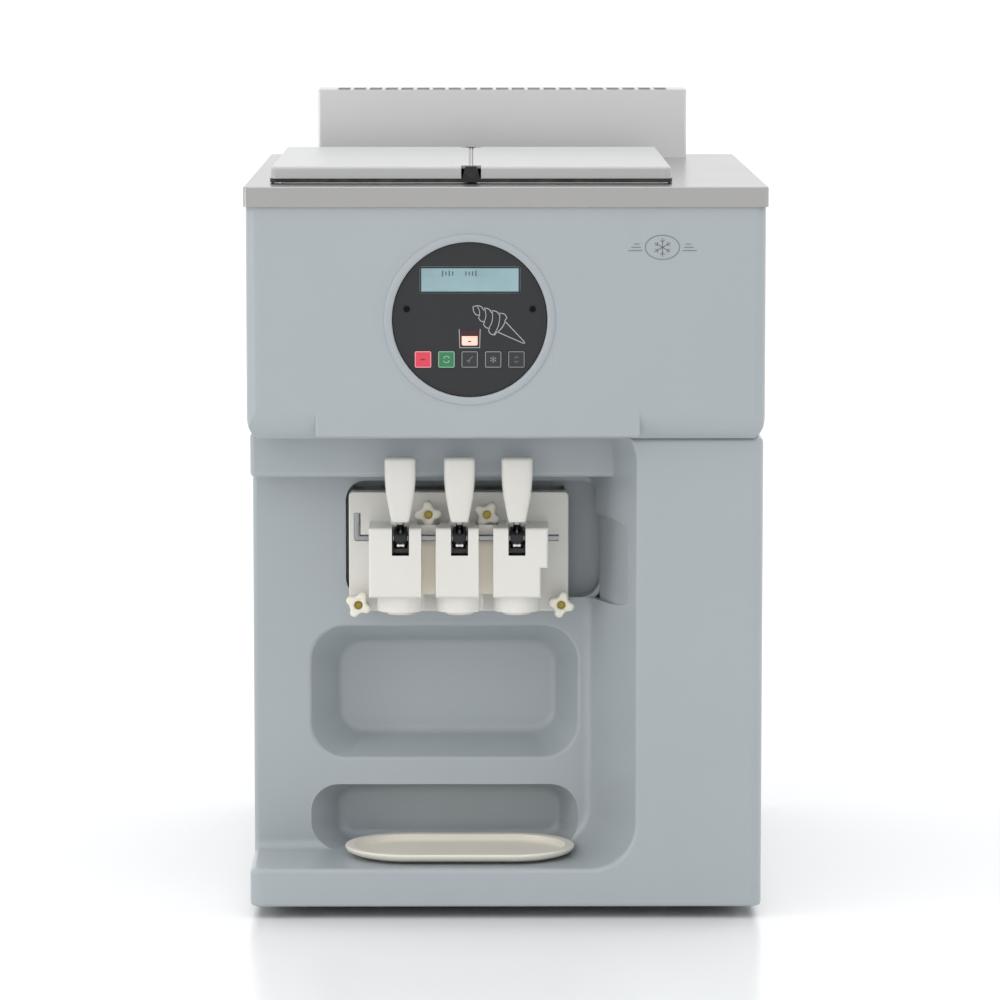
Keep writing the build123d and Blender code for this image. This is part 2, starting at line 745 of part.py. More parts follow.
def electrical_box():
    outer = block(180, 246, 250, 480, 500, 715)
    inner = block(182, 244, 252, 478, 502, 713)
    contactor = block(182, 200, 300, 360, 540, 600)
    terminals = block(182, 190, 390, 460, 520, 660)
    return outer - inner + contactor + terminals


# ---------------------------------------------------------------- hoppers and lids
def hopper(x0, x1):
    d0, d1 = hopper_depths
    gauge = panel_gauge

    def tub(inset, floor):
        rim = Plane.XY.offset(deck_top + gauge) * rounded_plan(
            x0 + inset, x1 - inset, d0 + inset, d1 - inset, 25 - inset
        )
        base = Plane.XY.offset(floor) * rounded_plan(
            x0 + 12 + inset, x1 - 12 - inset, d0 + 15 + inset, d1 - 15 - inset, 20 - inset
        )
        return loft([base, rim], ruled=True)

    flange = flat(rounded_plan(x0 - 8.5, x1 + 8.5, d0 - 8, d1 + 8, 12), deck_top, deck_top + gauge)
    body = tub(0, hopper_floor) + flange - tub(gauge, hopper_floor + gauge)
    centre = cylinder_x[0] if x1 < 0 else cylinder_x[1]
    return body - rod_z(hopper_floor - 5, hopper_floor + 5, centre, feed_depth, 9.3)


def lid_seal():
    low = deck_top + panel_gauge
    x0, x1 = lid_middle - lid_half, lid_middle + lid_half
    seal = flat(rounded_plan(x0 - 1, x1 + 1, lid_depths[0] - 1, lid_depths[1] + 1, 8), low, lid_bottom)
    for h0, h1 in hopper_walls:
        hole = rounded_plan(h0, h1, hopper_depths[0], hopper_depths[1], 25)
        seal -= flat(hole, low - 1, lid_bottom + 1)
    for d0 in (lid_depths[0], lid_depths[1] - 22):
        post = make_face(
            Polyline(
                (lid_middle - 9, lid_bottom), (lid_middle + 9, lid_bottom),
                (lid_middle + 5.5, lid_top), (lid_middle - 5.5, lid_top), close=True,
            )
        )
        seal += slab(post, d0, d0 + 22)
    return seal


def lid(side):
    x0, x1 = sorted((lid_middle + side, lid_middle + side * lid_half))
    d0, d1 = lid_depths
    body = flat(rounded_plan(x0, x1, d0, d1, 6), lid_bottom, lid_top)
    body = fillet(body.faces().sort_by(Axis.Z)[-1].edges(), 3)
    body -= flat(rounded_plan(x0 + 3, x1 - 3, d0 + 3, d1 - 3, 4), lid_bottom - 1, lid_top - 3)
    m = lid_middle
    for s0 in (d0 - 1, d1 - 23):
        body -= block(m - 10, m + 10, s0, s0 + 24, lid_bottom - 1, lid_top + 1)
    return body


# ---------------------------------------------------------------- write every node
os.makedirs("parts", exist_ok=True)

save("feet", feet())
save("base_pan", base_pan())
save("support_frame", support_frame())
save("top_deck", top_deck())
save("exhaust_chimney", exhaust_chimney())
save("side_panel_left", side_panel(-1))
save("side_panel_right", side_panel(1))
save("rear_panel", rear_panel())
save("cable_gland", cable_gland())

save("head_fascia", head_fascia())
save("control_panel", control_panel())
save("display_module", display_module())
save("low_mix_lamp", low_mix_lamp())
save("panel_screws", panel_screws())
save("control_board", control_board())
for name, x in zip(button_names, button_x):
    save(f"button_{name}", panel_button(x))

save("lower_fascia", lower_fascia())
save("dispense_head", dispense_head())
save("cylinder_seals", cylinder_seals())
save("head_studs", head_studs())
save("outlet_nozzles", outlet_nozzles())
save("pivot_rod", pivot_rod())
for name, x in zip(handle_names, handle_x):
    save(f"handle_{name}", handle(x))
    save(f"lever_{name}", lever(x))
    save(f"piston_{name}", piston(x))
for name, place in knob_places.items():
    save(f"star_knob_{name}", star_knob(*place))
save("drip_tray", drip_tray())

for name, x in zip(("left", "right"), cylinder_x):
    save(f"freezing_cylinder_{name}", freezing_cylinder(x))
    save(f"beater_{name}", beater(x))
save("mix_feed_tubes", mix_feed_tubes())
save("gearbox", gearbox())
save("gearbox_pulley", pulley(gearbox_pulley_radius, cylinder_z, 524))
save("motor_pulley", pulley(motor_pulley_radius, motor_z, 514))
save("drive_belt", drive_belt())
save("drive_motor", drive_motor())
save("compressor", compressor())
save("condenser", condenser())
save("fan_blade", fan_blade())
save("fan_motor", fan_motor())
save("electrical_box", electrical_box())

for name, walls in zip(("left", "right"), hopper_walls):
    save(f"hopper_{name}", hopper(*walls))
save("lid_seal", lid_seal())
save("lid_left", lid(-1))
save("lid_right", lid(1))
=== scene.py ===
from math import cos, pi, radians, sin

import bmesh
import bpy
from mathutils import Matrix, Vector


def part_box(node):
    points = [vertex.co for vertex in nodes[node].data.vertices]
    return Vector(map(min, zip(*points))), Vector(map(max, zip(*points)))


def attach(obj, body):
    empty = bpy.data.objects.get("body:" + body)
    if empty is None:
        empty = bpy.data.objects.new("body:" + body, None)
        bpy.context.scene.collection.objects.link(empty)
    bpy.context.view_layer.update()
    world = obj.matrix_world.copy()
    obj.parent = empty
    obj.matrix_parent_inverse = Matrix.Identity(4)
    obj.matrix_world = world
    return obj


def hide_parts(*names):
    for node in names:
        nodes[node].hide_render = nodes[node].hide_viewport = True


# Countertop soft ice cream machine with two flavours. Metres, front towards -Y, up is +Z.
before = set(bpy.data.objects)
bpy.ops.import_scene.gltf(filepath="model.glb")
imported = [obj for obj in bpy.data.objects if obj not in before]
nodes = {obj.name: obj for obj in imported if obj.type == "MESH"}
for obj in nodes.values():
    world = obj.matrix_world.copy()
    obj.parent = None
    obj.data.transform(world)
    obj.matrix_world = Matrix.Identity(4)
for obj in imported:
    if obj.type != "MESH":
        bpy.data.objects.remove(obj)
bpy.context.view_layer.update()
scene = bpy.context.scene
mm = 0.001
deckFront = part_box("top_deck")[0].y
print("frame loaded:", len(nodes), "parts")


def deep(depth):
    return deckFront + depth * mm  # depth in mm behind the front edge of the deck


def middle(node):
    low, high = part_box(node)
    return (low + high) / 2


# short helpers for building materials
def paint(red, green, blue):
    levels = [level / 255 for level in (red, green, blue)]
    linear = [v / 12.92 if v <= 0.04045 else ((v + 0.055) / 1.055) ** 2.4 for v in levels]
    return (*linear, 1.0)


def openMaterial(name):
    material = bpy.data.materials.new(name)
    material.use_nodes = True
    tree = material.node_tree
    place = tree.nodes.new("ShaderNodeTexCoord").outputs["Object"]
    return material, tree, tree.nodes["Principled BSDF"], place


def scaled(tree, place, scale):
    mapping = tree.nodes.new("ShaderNodeMapping")
    mapping.inputs["Scale"].default_value = scale
    tree.links.new(place, mapping.inputs["Vector"])
    return mapping.outputs["Vector"]


def noise(tree, place, scale, detail=2.0):
    node = tree.nodes.new("ShaderNodeTexNoise")
    node.inputs["Scale"].default_value = scale
    node.inputs["Detail"].default_value = detail
    tree.links.new(place, node.inputs["Vector"])
    return node.outputs["Fac"]


def ramp(tree, value, stops):
    node = tree.nodes.new("ShaderNodeValToRGB")
    points = node.color_ramp.elements
    while len(points) < len(stops):
        points.new(0.5)
    for point, (position, colour) in zip(points, stops):
        point.position = position
        point.color = colour
    tree.links.new(value, node.inputs["Fac"])
    return node.outputs["Color"]


def spread(tree, value, low, high):
    node = tree.nodes.new("ShaderNodeMapRange")
    node.inputs["From Min"].default_value = 0.3
    node.inputs["From Max"].default_value = 0.7
    node.inputs["To Min"].default_value = low
    node.inputs["To Max"].default_value = high
    tree.links.new(value, node.inputs["Value"])
    return node.outputs["Result"]


def combine(tree, operation, first, second):
    node = tree.nodes.new("ShaderNodeMath")
    node.operation = operation
    tree.links.new(first, node.inputs[0])
    if isinstance(second, float):
        node.inputs[1].default_value = second
    else:
        tree.links.new(second, node.inputs[1])
    return node.outputs["Value"]


def relief(tree, shader, height, strength, distance):
    bump = tree.nodes.new("ShaderNodeBump")
    bump.inputs["Strength"].default_value = strength
    bump.inputs["Distance"].default_value = distance
    tree.links.new(height, bump.inputs["Height"])
    tree.links.new(bump.outputs["Normal"], shader.inputs["Normal"])


def darker(colour, factor):
    return (*[level * factor for level in colour[:3]], 1.0)


# families of finishes
def moulded(name, colour, gloss=0.32, spots=0.97, grain=900, depth=0.00004, coat=0.0, glow=0.0):
    # smooth plastic: faint clouding, a fine orange peel and slightly uneven gloss
    material, tree, shader, place = openMaterial(name)
    cloud = noise(tree, place, 9, 3)
    stops = [(0.35, darker(colour, spots)), (0.65, colour)]
    tree.links.new(ramp(tree, cloud, stops), shader.inputs["Base Color"])
    wiped = noise(tree, scaled(tree, place, (1, 1, 3)), 14, 2)
    tree.links.new(spread(tree, wiped, gloss - 0.015, gloss + 0.02), shader.inputs["Roughness"])
    relief(tree, shader, noise(tree, place, grain, 2), 0.25, depth)
    shader.inputs["Coat Weight"].default_value = coat
    shader.inputs["Coat Roughness"].default_value = 0.12
    shader.inputs["Subsurface Weight"].default_value = glow
    shader.inputs["Subsurface Radius"].default_value = (0.004, 0.004, 0.004)
    return material


def brushed(name, colour, along, gloss=0.34, depth=0.000015, marks=0.97):
    # rolled steel: long fine lines on one axis, a few wiping marks across them
    material, tree, shader, place = openMaterial(name)
    stretch = [0.5 if axis in along else 120.0 for axis in "xyz"]
    lines = noise(tree, scaled(tree, place, stretch), 24, 3)
    haze = noise(tree, place, 5, 3)
    tone = combine(tree, "ADD", combine(tree, "MULTIPLY", lines, 0.6), combine(tree, "MULTIPLY", haze, 0.4))
    stops = [(0.3, darker(colour, marks)), (0.7, colour)]
    tree.links.new(ramp(tree, tone, stops), shader.inputs["Base Color"])
    tree.links.new(spread(tree, tone, gloss - 0.03, gloss + 0.04), shader.inputs["Roughness"])
    relief(tree, shader, lines, 0.3, depth)
    shader.inputs["Metallic"].default_value = 1.0
    return material


def cast(name, colour, metal=1.0, gloss=0.5, grain=260, depth=0.0003, marks=0.7):
    # cast or turned metal: pits between rounded grains, darker in the hollows
    material, tree, shader, place = openMaterial(name)
    pits = tree.nodes.new("ShaderNodeTexVoronoi")
    pits.inputs["Scale"].default_value = grain
    tree.links.new(place, pits.inputs["Vector"])
    dirt = noise(tree, place, 40, 5)
    stops = [(0.3, darker(colour, marks)), (0.6, colour)]
    tree.links.new(ramp(tree, dirt, stops), shader.inputs["Base Color"])
    tree.links.new(spread(tree, dirt, gloss + 0.12, gloss - 0.08), shader.inputs["Roughness"])
    relief(tree, shader, pits.outputs["Distance"], 0.3, depth)
    shader.inputs["Metallic"].default_value = metal
    return material


def powderCoat(name, colour, gloss=0.45):
    # baked paint on sheet: a pebbled skin with softly changing tone
    material, tree, shader, place = openMaterial(name)
    cloud = noise(tree, place, 6, 3)
    stops = [(0.35, darker(colour, 0.95)), (0.65, colour)]
    tree.links.new(ramp(tree, cloud, stops), shader.inputs["Base Color"])
    pebbles = noise(tree, place, 1100, 1)
    tree.links.new(spread(tree, pebbles, gloss - 0.05, gloss + 0.08), shader.inputs["Roughness"])
    relief(tree, shader, pebbles, 0.35, 0.0001)
    return material


def rubber(name, colour, gloss=0.62):
    # black rubber: matt, with grey bloom in patches
    material, tree, shader, place = openMaterial(name)
    bloom = noise(tree, place, 55, 5)
    stops = [(0.4, colour), (0.75, (0.055, 0.053, 0.05, 1.0))]
    tree.links.new(ramp(tree, bloom, stops), shader.inputs["Base Color"])
    tree.links.new(spread(tree, bloom, gloss - 0.1, gloss + 0.15), shader.inputs["Roughness"])
    relief(tree, shader, noise(tree, place, 1500, 2), 0.4, 0.00008)
    return material


def spangled(name, colour):
    # galvanised sheet: flat crystals of different brightness
    material, tree, shader, place = openMaterial(name)
    crystals = tree.nodes.new("ShaderNodeTexVoronoi")
    crystals.inputs["Scale"].default_value = 70
    tree.links.new(place, crystals.inputs["Vector"])
    tone = noise(tree, crystals.outputs["Color"], 3, 1)
    stops = [(0.35, darker(colour, 0.75)), (0.65, colour)]
    tree.links.new(ramp(tree, tone, stops), shader.inputs["Base Color"])
    tree.links.new(spread(tree, tone, 0.3, 0.5), shader.inputs["Roughness"])
    shader.inputs["Metallic"].default_value = 1.0
    return material


def clearWhite(name, colour):
    # milky lid plastic that lets light through, with faint scuffs
    material, tree, shader, place = openMaterial(name)
    scuffs = noise(tree, scaled(tree, place, (1, 5, 1)), 60, 6)
    stops = [(0.35, darker(colour, 0.985)), (0.65, colour)]
    tree.links.new(ramp(tree, scuffs, stops), shader.inputs["Base Color"])
    tree.links.new(spread(tree, scuffs, 0.28, 0.34), shader.inputs["Roughness"])
    relief(tree, shader, noise(tree, place, 500, 2), 0.12, 0.00002)
    shader.inputs["Subsurface Weight"].default_value = 0.35
    shader.inputs["Subsurface Radius"].default_value = (0.01, 0.01, 0.01)
    return material


def litGlass(name, colour, glow, strength):
    # backlit window: an uneven light behind a slightly dusty front
    material, tree, shader, place = openMaterial(name)
    patch = noise(tree, place, 45, 2)
    stops = [(0.3, darker(colour, 0.86)), (0.7, colour)]
    tree.links.new(ramp(tree, patch, stops), shader.inputs["Base Color"])
    glowStops = [(0.3, darker(glow, 0.8)), (0.7, glow)]
    tree.links.new(ramp(tree, patch, glowStops), shader.inputs["Emission Color"])
    shader.inputs["Emission Strength"].default_value = strength
    tree.links.new(spread(tree, noise(tree, place, 300, 3), 0.12, 0.22), shader.inputs["Roughness"])
    return material


def circuitBoard(name):
    # solder mask with tracks on a grid and bright pads
    material, tree, shader, place = openMaterial(name)
    bricks = tree.nodes.new("ShaderNodeTexBrick")
    bricks.inputs["Scale"].default_value = 90
    bricks.inputs["Color1"].default_value = paint(24, 92, 54)
    bricks.inputs["Color2"].default_value = paint(18, 76, 46)
    bricks.inputs["Mortar"].default_value = paint(60, 130, 80)
    turned = scaled(tree, place, (1, 1, 1))
    turned.node.inputs["Rotation"].default_value = (pi / 2, 0, 0)
    tree.links.new(turned, bricks.inputs["Vector"])
    tree.links.new(bricks.outputs["Color"], shader.inputs["Base Color"])
    relief(tree, shader, bricks.outputs["Fac"], 0.3, 0.0001)
    shader.inputs["Roughness"].default_value = 0.35
    return material


white = paint(220, 218, 212)
finishes = {
    "steel_deck": brushed("brushedDeckSteel", paint(174, 173, 171), "x", gloss=0.24),
    "steel_chimney": brushed("chimneySteel", paint(216, 216, 216), "x", gloss=0.42),
    "steel_hopper": brushed("hopperSteel", paint(205, 203, 198), "xy", gloss=0.24),
    "fascia_plastic": moulded("paleBlueMoulding", paint(168, 175, 179),
                              gloss=0.32, spots=0.98, coat=0.2, glow=0.12),
    "side_paint": powderCoat("paleBluePowderCoat", paint(168, 176, 180)),
    "zinc_sheet": spangled("zincSheet", paint(176, 178, 180)),
    "foot_rubber": rubber("footRubber", paint(26, 26, 27)),
    "seal_rubber": rubber("sealRubber", paint(18, 18, 19), gloss=0.5),
    "belt_rubber": rubber("beltRubber", paint(28, 27, 26)),
    "gland_black": moulded("glandNylon", paint(30, 31, 33), gloss=0.45, spots=0.8),
    "panel_black": moulded("panelFoil", paint(30, 31, 33), gloss=0.4, spots=0.93, grain=1800),
    "display_cyan": litGlass("displayGlass", paint(140, 166, 172), paint(140, 176, 184), 0.16),
    "button_red": moulded("redKey", paint(222, 62, 84), gloss=0.35, spots=0.9, coat=0.3),
    "button_green": moulded("greenKey", paint(44, 120, 78), gloss=0.35, spots=0.88, coat=0.3),
    "button_dark": moulded("darkKey", paint(42, 44, 46), gloss=0.4, spots=0.9),
    "lamp_red": litGlass("lampLens", paint(250, 190, 176), paint(255, 176, 160), 0.75),
    "screw_black": moulded("blackScrew", paint(10, 10, 11), gloss=0.5, spots=0.8),
    "board_green": circuitBoard("boardGreen"),
    "head_white": moulded("headWhite", paint(226, 224, 218), gloss=0.36, spots=0.98, glow=0.25),
    "handle_white": moulded("gripWhite", white, gloss=0.3, spots=0.97, glow=0.08, coat=0.15),
    "piston_white": moulded("pistonWhite", white, gloss=0.3, spots=0.97),
    "knob_cream": moulded("knobCream", paint(238, 234, 220), gloss=0.3, spots=0.97, glow=0.1),
    "tray_cream": moulded("trayCream", paint(232, 227, 214), gloss=0.34, spots=0.97, glow=0.1),
    "brass": brushed("turnedBrass", paint(150, 136, 70), "y", gloss=0.35),
    "lever_steel": brushed("leverSteel", paint(150, 151, 153), "z", gloss=0.2),
    "cylinder_steel": brushed("cylinderSteel", paint(186, 186, 186), "y", gloss=0.28),
    "beater_steel": brushed("beaterSteel", paint(200, 199, 197), "y", gloss=0.18),
    "tube_steel": brushed("tubeSteel", paint(196, 196, 196), "z", gloss=0.2),
    "cast_alloy": cast("castAlloy", paint(150, 151, 152)),
    "pulley_iron": cast("pulleyIron", paint(78, 78, 80), gloss=0.42, grain=420, depth=0.00015),
    "motor_paint": cast("motorPaint", paint(58, 84, 110), metal=0.0, gloss=0.4),
    "compressor_black": cast("compressorBlack", paint(24, 24, 25), metal=0.0, gloss=0.36, depth=0.00015),
    "fin_alloy": brushed("finAlloy", paint(178, 180, 182), "z", gloss=0.3),
    "fan_paint": cast("fanPaint", paint(44, 45, 47), metal=0.0, gloss=0.5, depth=0.0001),
    "box_zinc": spangled("boxZinc", paint(168, 170, 172)),
    "lid_plastic": clearWhite("milkyLid", paint(194, 194, 194)),
}
finishes["screw_black"].node_tree.nodes["Principled BSDF"].inputs["Specular IOR Level"].default_value = 0.15
leverBlack = moulded("leverBlack", paint(30, 30, 31), gloss=0.35, spots=0.8)
for node in nodes.values():
    slotName = node.data.materials[0].name.split(".")[0]
    for place in range(len(node.data.materials)):
        node.data.materials[place] = finishes[slotName]
print("finishes made:", len(finishes))


# helpers for meshes
def addPiece(name, mesh, slot, body, material=None):
    mesh.name = name
    if material or not mesh.materials:
        mesh.materials.clear()
        mesh.materials.append(material or finishes[slot])
    piece = bpy.data.objects.new(name, mesh)
    scene.collection.objects.link(piece)
    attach(piece, body)
    return piece


def meshOf(shape, edgeAngle=32):
    bmesh.ops.recalc_face_normals(shape, faces=shape.faces)
    mesh = bpy.data.meshes.new("shape")
    shape.to_mesh(mesh)
    shape.free()
    mesh.shade_smooth()
    mesh.set_sharp_from_angle(angle=radians(edgeAngle))
    return mesh


def skin(shape, rings, closeStart=True, closeEnd=True, loop=False):
    # joins rings of the same number of points into one surface
    rows = [[shape.verts.new(point) for point in ring] for ring in rings]
    pairs = list(zip(rows, rows[1:])) + ([(rows[-1], rows[0])] if loop else [])
    for near, far in pairs:
        for i in range(len(near)):
            j = (i + 1) % len(near)
            shape.faces.new((near[i], near[j], far[j], far[i]))
    if closeStart and not loop:
        shape.faces.new(rows[0])
    if closeEnd and not loop:
        shape.faces.new(rows[-1])
    return rows


# flat printed lines
def strip(shape, points, width, front, back, closed=False):
    # a line of even width on the X-Z plane, with a small thickness
    count = len(points)
    left, right = [], []
    for i, point in enumerate(points):
        before = points[i - 1] if i or closed else point
        after = points[(i + 1) % count] if i + 1 < count or closed else point
        first = Vector(point) - Vector(before)
        second = Vector(after) - Vector(point)
        run = (first.normalized() if first.length else second.normalized())
        run = run + (second.normalized() if second.length else run)
        across = Vector((-run.y, run.x)).normalized() * width / 2
        left.append(Vector(point) + across)
        right.append(Vector(point) - across)
    rings = []
    for a, b in zip(left, right):
        rings.append([(a.x, front, a.y), (b.x, front, b.y), (b.x, back, b.y), (a.x, back, a.y)])
    skin(shape, rings, loop=closed)


def arcPoints(x, z, radius, start, end, steps=12):
    turns = [start + (end - start) * i / steps for i in range(steps + 1)]
    return [(x + radius * cos(t), z + radius * sin(t)) for t in turns]


def roundedBox(x, z, half, corner, steps=4):
    points = []
    for i, (sx, sz) in enumerate(((1, 1), (-1, 1), (-1, -1), (1, -1))):
        centre = (x + sx * (half - corner), z + sz * (half - corner))
        points += arcPoints(*centre, corner, i * pi / 2, (i + 1) * pi / 2, steps)
    return points


def plate(shape, outline, front, back):
    near = [(x, front, z) for x, z in outline]
    far = [(x, back, z) for x, z in outline]
    skin(shape, [near, far])


printedLine = moulded("printedLine", paint(176, 184, 184), gloss=0.5, spots=0.85)
printThickness = 0.00012


# keys: a light frame and a plain sign on each
keyLook = {"frame": 7.7 * mm, "corner": 1.1 * mm, "line": 0.75 * mm, "sign": 0.7 * mm}


def stopSign(shape, x, z, front, back):
    strip(shape, [(x - 2.2 * mm, z), (x + 2.2 * mm, z)], 1.3 * mm, front, back)


def runSign(shape, x, z, front, back):
    for side in (1, -1):
        start = 0.12 if side > 0 else 1.12
        bow = arcPoints(x, z, 3.2 * mm, start * pi, (start + 0.74) * pi, 10)
        strip(shape, bow, keyLook["sign"], front, back)
        tip = Vector(bow[-1])
        wing = 1.5 * mm
        above = (tip.x + side * wing * 0.2, tip.y + side * wing)
        ends = [above, (tip.x, tip.y), (tip.x + side * wing, tip.y)]
        strip(shape, ends, keyLook["sign"], front, back)


def cleanSign(shape, x, z, front, back):
    strip(shape, [(x + 3.2 * mm, z + 3.2 * mm), (x - 0.2 * mm, z - 0.2 * mm)], keyLook["sign"], front, back)
    for i in range(4):
        foot = (x - (3.4 - 0.9 * i) * mm, z - (1.2 + 0.75 * i) * mm)
        strip(shape, [(x - 0.4 * mm + 0.2 * i * mm, z - 0.4 * mm), foot], 0.45 * mm, front, back)


def chillSign(shape, x, z, front, back):
    reach = 3.3 * mm
    for i in range(3):
        turn = pi / 6 + i * pi / 3
        ray = Vector((cos(turn), sin(turn))) * reach
        strip(shape, [(x - ray.x, z - ray.y), (x + ray.x, z + ray.y)], 0.5 * mm, front, back)
        for end in (1, -1):
            knee = Vector((x, z)) + ray * 0.6 * end
            for lean in (0.7, -0.7):
                tip = knee + Vector((cos(turn + lean), sin(turn + lean))) * end * 1.1 * mm
                strip(shape, [tuple(knee), tuple(tip)], 0.4 * mm, front, back)


def scrollSign(shape, x, z, front, back):
    for side in (1, -1):
        point = (x, z + side * 3.3 * mm)
        arms = [(x - 1.9 * mm, z + side * 1.3 * mm), point, (x + 1.9 * mm, z + side * 1.3 * mm)]
        strip(shape, arms, keyLook["sign"], front, back)


signs = {"stop": stopSign, "run": runSign, "clean": cleanSign, "chill": chillSign, "scroll": scrollSign}
signTones = {"stop": (150, 20, 40), "run": (150, 205, 170), "clean": (120, 126, 126),
             "chill": (150, 160, 158), "scroll": (120, 124, 124)}
frameTones = {"stop": (240, 170, 180), "run": (150, 190, 165), "clean": (146, 150, 150),
              "chill": (146, 156, 153), "scroll": (140, 142, 142)}
for key, drawSign in signs.items():
    low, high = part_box("button_" + key)
    x, z = (low.x + high.x) / 2, (low.z + high.z) / 2
    front = low.y - printThickness
    border = bmesh.new()
    frameLine = roundedBox(x, z, keyLook["frame"], keyLook["corner"])
    strip(border, frameLine, keyLook["line"], front, low.y, closed=True)
    tone = moulded(key + "FrameInk", paint(*frameTones[key]), gloss=0.45, spots=0.9)
    addPiece(key + ".frame", meshOf(border), "button_dark", "button_" + key, tone)
    sign = bmesh.new()
    drawSign(sign, x, z, front, low.y)
    tone = moulded(key + "SignInk", paint(*signTones[key]), gloss=0.45, spots=0.9)
    addPiece(key + ".sign", meshOf(sign), "button_dark", "button_" + key, tone)
print("key signs drawn")

# ice cream drawing on the panel, lengths in mm along and across the cone's axis
coneLook = {"start": (3.2, 13.0), "turn": -35.3, "rim": 34.0, "length": 63.0,
            "rimHalf": 6.6, "line": 0.8, "tiers": 4}
panelLow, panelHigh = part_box("control_panel")
panelX, panelZ = (panelLow.x + panelHigh.x) / 2, (panelLow.z + panelHigh.z) / 2
panelFront = deep(6.5)


def onCone(along, across):
    turn = radians(coneLook["turn"])
    dx = coneLook["start"][0] + along * cos(turn) - across * sin(turn)
    dz = coneLook["start"][1] + along * sin(turn) + across * cos(turn)
    return (panelX + dx * mm, panelZ + dz * mm)


def drawCone():
    shape = bmesh.new()
    back = panelFront
    front = panelFront - printThickness
    line = coneLook["line"] * mm
    rim, half, tiers = coneLook["rim"], coneLook["rimHalf"], coneLook["tiers"]
    tip = [onCone(rim, half), onCone(coneLook["length"] - 1, 0.9), onCone(coneLook["length"], 0),
           onCone(coneLook["length"] - 1, -0.9), onCone(rim, -half)]
    strip(shape, tip, line, front, back)
    lip = [onCone(rim + 1.6 * sin(t * pi / 10), half * cos(t * pi / 10)) for t in range(11)]
    strip(shape, lip, line, front, back)
    step = (rim - 3) / tiers
    for side in (1, -1):
        edge = [onCone(0, 0)]
        for k in range(tiers):
            reach = 3.2 + 2.4 * k
            edge += [onCone(3 + step * (k + t / 6), side * (reach + 1.5 * sin(t * pi / 6))) for t in range(7)]
        edge.append(onCone(rim, side * half))
        strip(shape, edge, line, front, back)
    for k in range(tiers):
        reach = 3.4 + 2.4 * k
        sweep = [onCone(2 + step * k + step * t / 12 + 2.2 * sin(t * pi / 12), reach * (1 - t / 6))
                 for t in range(13)]
        strip(shape, sweep, line * 0.85, front, back)
    return meshOf(shape)


addPiece("coneDrawing", drawCone(), "panel_black", "cabinet", printedLine)

# low mix sign: a cup outline round the lit lens
lampLow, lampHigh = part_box("low_mix_lamp")


def drawCup():
    shape = bmesh.new()
    gap, line = 0.9 * mm, 0.8 * mm
    left, right = lampLow.x - gap, lampHigh.x + gap
    foot, top = lampLow.z - gap, lampHigh.z + 1.5 * mm
    outline = [(left - 0.5 * mm, top), (left, foot), (right, foot), (right + 0.5 * mm, top)]
    strip(shape, outline, line, panelFront - printThickness, panelFront)
    return meshOf(shape)


addPiece("cupDrawing", drawCup(), "panel_black", "cabinet", printedLine)
print("panel drawings done")

# marks on the display, plain bars of different lengths
displayLook = {
    "left": 23.0, "down": 6.9, "pitch": 3.3, "width": 1.3, "border": 2.1,
    "bars": (6.0, 4.0, 5.4, 4.0, 0, 0, 0, 4.2, 3.8, 4.4, 5.8),  # 0 leaves a space
    "window": (-85.8, 14.3, 634.2, 660.8),
}


def displayWindow():
    return [edge * mm for edge in displayLook["window"]]


def drawDisplay():
    shape = bmesh.new()
    left, _, _, top = displayWindow()
    front = deep(6.9)
    z = top - displayLook["down"] * mm
    for i, tall in enumerate(displayLook["bars"]):
        if tall:
            at = left + (displayLook["left"] + i * displayLook["pitch"]) * mm
            bar = [(at, z - tall * mm / 2), (at, z + tall * mm / 2)]
            strip(shape, bar, displayLook["width"] * mm, front - printThickness, front)
    return meshOf(shape)


def drawBorder():
    # black edge printed round the display window
    shape = bmesh.new()
    left, right, base, top = displayWindow()
    half = displayLook["border"] / 2 * mm
    left, right, base, top = left + half, right - half, base + half, top - half
    corners = [(left, base), (right, base), (right, top), (left, top)]
    front = deep(6.9)
    strip(shape, corners, 2 * half, front - printThickness, front, closed=True)
    return meshOf(shape)


displayInk = moulded("displayInk", paint(84, 106, 114), gloss=0.4, spots=0.85)
addPiece("displayBars", drawDisplay(), "display_cyan", "cabinet", displayInk)
addPiece("displayBorder", drawBorder(), "panel_black", "cabinet")

# the upper part of the lamp's lens is masked, so that the cup looks half empty
maskLook = {"from": 591.6, "inset": 0.2, "dash": 3.2}
lampFront = deep(6.2)


def drawMask():
    shape = bmesh.new()
    inset = maskLook["inset"] * mm
    low = maskLook["from"] * mm
    left, right, top = lampLow.x - inset, lampHigh.x + inset, lampHigh.z + inset
    outline = [(left, low), (right, low), (right, top), (left, top)]
    plate(shape, outline, lampFront - printThickness, panelFront)
    dash = Vector(((left + right) / 2, (lampLow.z + low) / 2))
    reach = maskLook["dash"] / 2 * mm
    line = [(dash.x - reach, dash.y), (dash.x + reach, dash.y)]
    strip(shape, line, 1.1 * mm, lampFront - printThickness, lampFront)
    return meshOf(shape)


maskInk = moulded("lampMask", paint(62, 24, 24), gloss=0.35, spots=0.8)
addPiece("lampMask", drawMask(), "lamp_red", "cabinet", maskInk)
print("display and lamp done")

# plain emblem: a snowflake in an oval with a line to each side
emblemLook = {"x": 155.0, "z": 680.0, "wide": 17.0, "high": 12.0, "line": 0.9, "reach": 34.0, "proud": 0.25}


